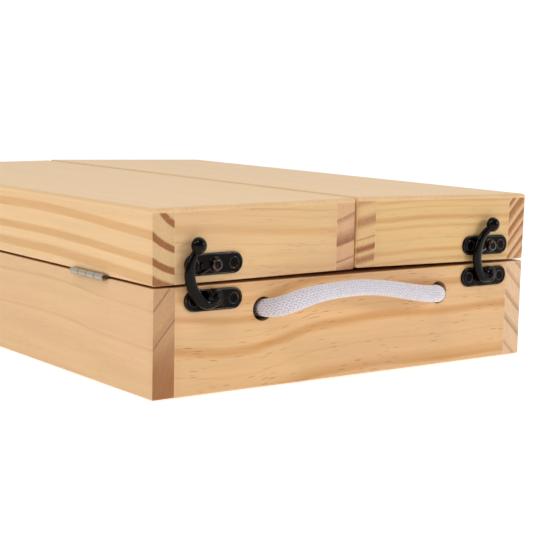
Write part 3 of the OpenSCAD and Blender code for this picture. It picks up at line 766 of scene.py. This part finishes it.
def braid(line, carriers=10, pitch=20.0, strand=0.80, outer=ROPE_R, swell=0.26, yarns=2):
    """A round plaited cord: two sets of yarns wind opposite ways and pass over and under each other."""
    t, u, v = frames(line)
    s = np.concatenate([[0], np.cumsum(np.linalg.norm(np.diff(line, axis=0), axis=1))])
    fill = np.interp(s / s[-1], [0.0, 0.09, 0.14, 0.21, 0.31, 0.54, 0.78, 0.9, 1.0], [0.97, 1.03, 1.11, 1.09, 0.95, 0.90, 0.99, 0.99, 0.97])
    core = tube(line, list((outer - 0.72) * fill), 24)
    parts = [core]
    for way in (1, -1):
        for k in range(carriers):
            for q in range(yarns):
                off = (q - (yarns - 1) / 2) * 0.44 * 2 * math.pi / carriers
                ang = way * (2 * math.pi * s / pitch) + 2 * math.pi * k / carriers + (0 if way > 0 else math.pi / carriers) + off
                wave = np.sin(carriers * 2 * math.pi * s / pitch + (0 if way > 0 else math.pi))
                rad = (outer - strand * 0.30 + swell * (wave - 1.0)) * fill
                out = np.cos(ang)[:, None] * u + np.sin(ang)[:, None] * v
                pts = line + rad[:, None] * out
                parts.append(tube(pts, list(strand * 0.565 * fill), 6, flat=0.66, normal=out))
    vs, fs = merge(parts)
    # how far each point stands out of the cord, used to shade the hollows between yarns
    w = np.array(vs)
    step = max(1, len(line) // 400)
    near = np.zeros(len(w), int)
    best = np.full(len(w), 1e9)
    for i in range(0, len(line), step):
        d = np.sum((w - line[i]) ** 2, axis=1)
        hit = d < best
        best[hit] = d[hit]
        near[hit] = i
    proud = np.sqrt(best) / (outer * fill[near])
    return vs, fs, proud


vs, fs, proud = braid(path)
rope = new_mesh("rope_handle_braid", vs, fs)
field = rope.data.attributes.new("proud", "FLOAT", "POINT")
field.data.foreach_set("value", [float(q) for q in proud])
fix_normals(rope)
rope.data.materials.append(cotton)
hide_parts("rope_handle", "rope_ends")


# overhand knots inside the box
def knot(cx, mirror):
    T = np.linspace(0, 2 * math.pi, 121)[:-1]
    s = 1.36
    x = (np.sin(T) + 2 * np.sin(2 * T)) * s * mirror
    z = (np.cos(T) - 2 * np.cos(2 * T)) * s
    y = -np.sin(3 * T) * 2.05
    line = np.stack([x + cx, y + FY + BOARD + 7.0, z + ROPE_Z], 1)
    # a plain closed tube with braided relief
    n = len(line)
    t = np.roll(line, -1, 0) - np.roll(line, 1, 0)
    t /= np.linalg.norm(t, axis=1)[:, None]
    centre = np.array([cx, FY + BOARD + 7.0, ROPE_Z])
    v = line - centre
    v -= t * np.sum(v * t, axis=1)[:, None]
    v /= np.linalg.norm(v, axis=1)[:, None]
    u = np.cross(v, t)
    sides, verts, faces = 28, [], []
    arc = np.linspace(0, 14 * 2 * math.pi, n, endpoint=False)
    fine = 3
    for i in range(n):
        for k in range(sides):
            a = 2 * math.pi * k / sides
            rr = 2.45 + 0.16 * math.cos(7 * a + arc[i]) * math.cos(7 * a - arc[i])
            verts.append(tuple(line[i] + rr * (math.cos(a) * u[i] + math.sin(a) * v[i])))
    for i in range(n):
        j = (i + 1) % n
        for k in range(sides):
            q = (k + 1) % sides
            faces.append((i * sides + k, i * sides + q, j * sides + q, j * sides + k))
    neck = tube([(cx, FY + BOARD + 0.5, ROPE_Z), (cx, FY + BOARD + 3.0, ROPE_Z), (cx, FY + BOARD + 6.5, ROPE_Z)], [4.0, 3.8, 3.0], 24)
    return merge([(verts, faces), neck])


knots = new_mesh("rope_stopper_knots", *merge([knot(-ROPE_X, 1), knot(ROPE_X, -1)]))
fix_normals(knots)
knots.data.materials.append(cotton)
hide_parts("rope_knots")
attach(knots, "base")


# ------------------------------------------------------------------ swing hooks
def lid_turn(points, side):
    """Points drawn for a shut lid, turned to where the lid rests. side 0 is left, 1 right."""
    a = math.radians(AJAR[side]) * (-1 if side == 0 else 1)
    ax = -AXIS_X if side == 0 else AXIS_X
    out = []
    for x, y, z in points:
        dx, dz = x - ax, z - AXIS_Z
        # rotation about Y by a, as OpenSCAD does it
        out.append((ax + dx * math.cos(a) + dz * math.sin(a), y, AXIS_Z - dx * math.sin(a) + dz * math.cos(a)))
    return out


CRESCENT = [[-0.6, -1.0, 5.0], [-1.8, -1.7, 5.2], [-4.6, -1.6, 4.6], [-7.2, 0.8, 4.9], [-8.9, 4.6, 5.2], [-9.75, 8.8, 5.3], [-9.6, 13, 5.3],
            [-8.4, 17.2, 5.0], [-6.4, 20.5, 4.4], [-3.9, 23, 3.8], [-1.3, 24.9, 3.5], [0.2, 26.6, 3.4]]


def hook(side):
    hx = HOOK_X[side]
    turn = math.radians(HOOK_TURN[side])
    c3 = catmull([[p[0], p[2], p[1]] for p in CRESCENT], 0.6)   # the width rides along as the middle number
    line = np.stack([c3[:, 0], np.full(len(c3), -3.72), c3[:, 2]], 1)
    rad = c3[:, 1] / 2 + 0.08
    n = len(line)
    verts, faces = [], []
    sides = 24
    t = np.gradient(line, axis=0)
    t /= np.linalg.norm(t, axis=1)[:, None]
    for i in range(n):
        side_v = np.cross(t[i], (0, 1, 0))
        side_v /= np.linalg.norm(side_v)
        for k in range(sides):
            a = 2 * math.pi * k / sides
            c, q = math.cos(a), math.sin(a)
            # a crowned bar with a flat back: a rounded front and softened corners behind
            dep = 1.62 * (abs(q) ** 0.8) if q < 0 else 1.5 * (abs(q) ** 0.45)
            verts.append(tuple(line[i] + rad[i] * (abs(c) ** 0.85) * (1 if c > 0 else -1) * side_v + np.array([0, dep * (1 if q > 0 else -1), 0])))
    for i in range(n - 1):
        for k in range(sides):
            q = (k + 1) % sides
            faces.append((i * sides + k, i * sides + q, (i + 1) * sides + q, (i + 1) * sides + k))
    faces.append(tuple(range(sides)))
    faces.append(tuple((n - 1) * sides + k for k in range(sides)))
    bar = (verts, faces)
    prof = [(0.0, 1.15), (3.6, 1.15), (4.2, 1.35), (4.45, 1.9), (4.45, 3.9), (4.3, 4.5), (3.9, 4.95), (3.3, 5.1), (2.9, 4.95), (2.0, 4.9), (0.0, 4.9)]
    hub = lathe(prof, (0, 0, 0), -1.0, 48)
    ball = []
    for i in range(21):
        a = math.pi * i / 20
        ball.append((4.02 * math.sin(a) if 0 < i < 20 else 0.0, 4.15 - 4.0 * math.cos(a) * (0.5 if math.cos(a) > 0 else 1.0)))
    ball = lathe(ball, (0.2, 0, 27.0), -1.0, 44)
    vs, fs = merge([bar, hub, ball])
    # turn about the pivot
    c, s = math.cos(-turn), math.sin(-turn)
    vs = [(x * c + z * s + hx, y + FY, -x * s + z * c + HOOK_Z) for x, y, z in vs]
    ob = new_mesh(("left", "right")[side] + "_hook_cast", vs, fs)
    fix_normals(ob)
    remeshed(ob, 0.22, 4, 0.5)
    ob.data.materials.append(bronze)
    return ob


for side in (0, 1):
    ob = hook(side)
    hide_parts(("left", "right")[side] + "_hook_arm")
    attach(ob, ("left", "right")[side] + "_hook")


# domed rivet heads, screw rims and rolled plate edges
def ring_torus(cx, cz, y, R, r, sides=40, tube_sides=10):
    verts, faces = [], []
    for i in range(sides):
        a = 2 * math.pi * i / sides
        for k in range(tube_sides):
            b = 2 * math.pi * k / tube_sides
            rr = R + r * math.cos(b)
            verts.append((cx + rr * math.cos(a), y - r * 0.75 * math.sin(b), cz + rr * math.sin(a)))
    for i in range(sides):
        j = (i + 1) % sides
        for k in range(tube_sides):
            q = (k + 1) % tube_sides
            faces.append((i * tube_sides + k, i * tube_sides + q, j * tube_sides + q, j * tube_sides + k))
    return verts, faces


def stadium_edge(cx, cz, y, w, h, r, inset):
    """A rounded bead that follows a plate's outline."""
    R = h / 2 - inset
    L = (w - h) / 2
    pts = []
    for k in range(33):
        a = -math.pi / 2 + math.pi * k / 32
        pts.append((cx + L + R * math.cos(a), y, cz + R * math.sin(a)))
    for k in range(33):
        a = math.pi / 2 + math.pi * k / 32
        pts.append((cx - L + R * math.cos(a), y, cz + R * math.sin(a)))
    line = np.array(pts)
    n = len(line)
    t = np.roll(line, -1, 0) - np.roll(line, 1, 0)
    t /= np.linalg.norm(t, axis=1)[:, None]
    verts, faces, sides = [], [], 10
    for i in range(n):
        o = np.cross(t[i], (0, 1, 0))
        for k in range(sides):
            a = 2 * math.pi * k / sides
            verts.append(tuple(line[i] + r * math.cos(a) * o + np.array([0, -r * 0.8 * math.sin(a), 0])))
    for i in range(n):
        j = (i + 1) % n
        for k in range(sides):
            q = (k + 1) % sides
            faces.append((i * sides + k, i * sides + q, j * sides + q, j * sides + k))
    return verts, faces


def plate_trim(name, cx, cz, side, on_lid):
    y = FY - 0.95
    parts = [stadium_edge(cx, cz, y + 0.1, 32.6, 10.4, 0.5, 0.5)]
    for s in (-1, 1):
        parts.append(ring_torus(cx + s * 11.3, cz, y, 2.65, 0.42))
    if on_lid:
        bx, bz = HOOK_X[side] + 1.7, cz - 0.4
        parts.append(ring_torus(bx, bz, y - 0.05, 3.5, 0.45))
        # a low rib from the boss toward the arm
        rib = [(bx - 2.9, y - 0.25, bz - 1.2), (bx - 5.0, y - 0.38, bz - 2.3), (bx - 7.4, y - 0.38, bz - 3.4), (bx - 9.2, y - 0.15, bz - 4.1)]
        parts.append(tube(catmull(rib, 0.35), 0.80, 14))
    vs, fs = merge(parts)
    if on_lid:
        vs = lid_turn(vs, side)
    ob = new_mesh(name, vs, fs)
    fix_normals(ob)
    ob.data.materials.append(bronze_edge)
    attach(ob, (("left", "right")[side] + "_lid") if on_lid else "base")
    return ob


for side in (0, 1):
    tag = ("left", "right")[side]
    plate_trim(tag + "_latch_plate_trim", LATCH_X[side], PLATE_LO, side, False)
    plate_trim(tag + "_catch_plate_trim", LATCH_X[side], PLATE_HI, side, True)
    # worn dome on the hook's pivot, with the small centre mark left by riveting
    dome = lathe([(0.0, 5.55), (0.45, 5.6), (0.8, 5.85), (1.2, 5.95), (1.8, 5.75), (2.35, 5.35), (2.75, 4.8), (2.75, 4.6), (0.0, 4.6)],
                 (HOOK_X[side], FY, HOOK_Z), -1.0, 36)
    ob = new_mesh(tag + "_pivot_dome", *dome)
    fix_normals(ob)
    ob.data.materials.append(bronze_rub)
    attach(ob, "base")
    # worn boss of the catch, round nosed with a dimple
    vs, fs = lathe([(0.0, 3.55), (0.45, 3.58), (0.8, 3.9), (1.25, 3.98), (1.6, 3.86), (1.85, 3.70), (2.15, 3.76), (2.55, 3.62), (2.86, 3.2), (2.95, 2.6), (2.95, 1.5), (3.3, 1.2), (3.3, 1.0), (0.0, 1.0)],
                   (HOOK_X[side] + 1.7, FY, PLATE_HI - 0.4), -1.0, 36)
    ob = new_mesh(tag + "_catch_boss", lid_turn(vs, side), fs)
    fix_normals(ob)
    ob.data.materials.append(bronze_rub)
    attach(ob, tag + "_lid")

# ------------------------------------------------------------------ small edge rounding on the plain CAD parts
for n, w in {"center_divider": 0.5, "long_divider": 0.5, "knot_guard_board": 0.5, "cross_dividers": 0.5, "mast_beam": 0.5,
             "canvas_ledge": 0.5, "mast_brackets": 0.25, "canvas_clamp": 0.5, "base_bottom_panel": 0.3}.items():
    o = N[n]
    weld = o.modifiers.new("weld", "WELD")
    weld.merge_threshold = 0.00001
    bev = o.modifiers.new("bevel", "BEVEL")
    bev.width = w * MM
    bev.segments = 2
    bev.limit_method = "ANGLE"
    bev.angle_limit = math.radians(35)
    wn = o.modifiers.new("normals", "WEIGHTED_NORMAL")
    wn.weight = 90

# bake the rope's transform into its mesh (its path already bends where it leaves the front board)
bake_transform(rope)

# ------------------------------------------------------------------ floor, world and lights
floor = new_mesh("studio_floor", [(-6000, -6000, -0.4), (6000, -6000, -0.4), (6000, 6000, -0.4), (-6000, 6000, -0.4)], [(0, 1, 2, 3)], smooth=False)
fg = Graph("studio_floor")
fg.bsdf.inputs["Roughness"].default_value = 0.9
fg.bsdf.inputs["Specular IOR Level"].default_value = 0.1
tone = fg.noise(fg.stretch(fg.mm, 0.002, 0.002, 0.002), 1.0, 2.0, 0.5)
fg.link(fg.mix(tone, (0.60, 0.60, 0.60, 1), (0.62, 0.62, 0.618, 1)), fg.bsdf.inputs["Base Color"])
fg.bsdf.inputs["Emission Color"].default_value = (1, 1, 1, 1)
fg.bsdf.inputs["Emission Strength"].default_value = 0.66
floor.data.materials.append(fg.mat)

world = bpy.data.worlds.new("studio")
bpy.context.scene.world = world
world.use_nodes = True
wt = world.node_tree
wt.nodes.clear()
wo = wt.nodes.new("ShaderNodeOutputWorld")
bg = wt.nodes.new("ShaderNodeBackground")
wt.links.new(bg.outputs[0], wo.inputs[0])
wc = wt.nodes.new("ShaderNodeTexCoord")
dot = wt.nodes.new("ShaderNodeVectorMath")
dot.operation = "DOT_PRODUCT"
dot.inputs[1].default_value = (0.59261, 0.79432, 0.0)
wt.links.new(wc.outputs["Generated"], dot.inputs[0])
mr = wt.nodes.new("ShaderNodeMapRange")
mr.interpolation_type = "SMOOTHSTEP"
mr.inputs["From Min"].default_value = -0.35
mr.inputs["From Max"].default_value = 0.75
mr.inputs["To Min"].default_value = 0.24
mr.inputs["To Max"].default_value = 1.05
wt.links.new(dot.outputs["Value"], mr.inputs["Value"])
wt.links.new(mr.outputs[0], bg.inputs["Strength"])
bg.inputs["Color"].default_value = (1, 1, 1, 1)


def softbox(name, at, aim, size, power, colour=(1, 1, 1)):
    d = bpy.data.lights.new(name, "AREA")
    d.shape = "RECTANGLE"
    d.size, d.size_y = size
    d.energy = power
    d.color = colour
    o = bpy.data.objects.new(name, d)
    bpy.context.scene.collection.objects.link(o)
    o.location = at
    o.rotation_euler = (Vector(aim) - Vector(at)).to_track_quat("-Z", "Y").to_euler()
    return o


softbox("softbox_left", (-1.34, -0.12, 0.92), (0, 0, 0.05), (0.26, 0.44), 4.0)
softbox("softbox_front", (1.0, -1.4, 0.62), (0, 0, 0.05), (0.32, 0.32), 7.6)
softbox("softbox_top", (-0.82, -0.66, 1.5), (0, 0, 0.05), (0.32, 0.32), 6.6)

bpy.context.scene.view_settings.view_transform = "Standard"
bpy.context.scene.view_settings.look = "None"
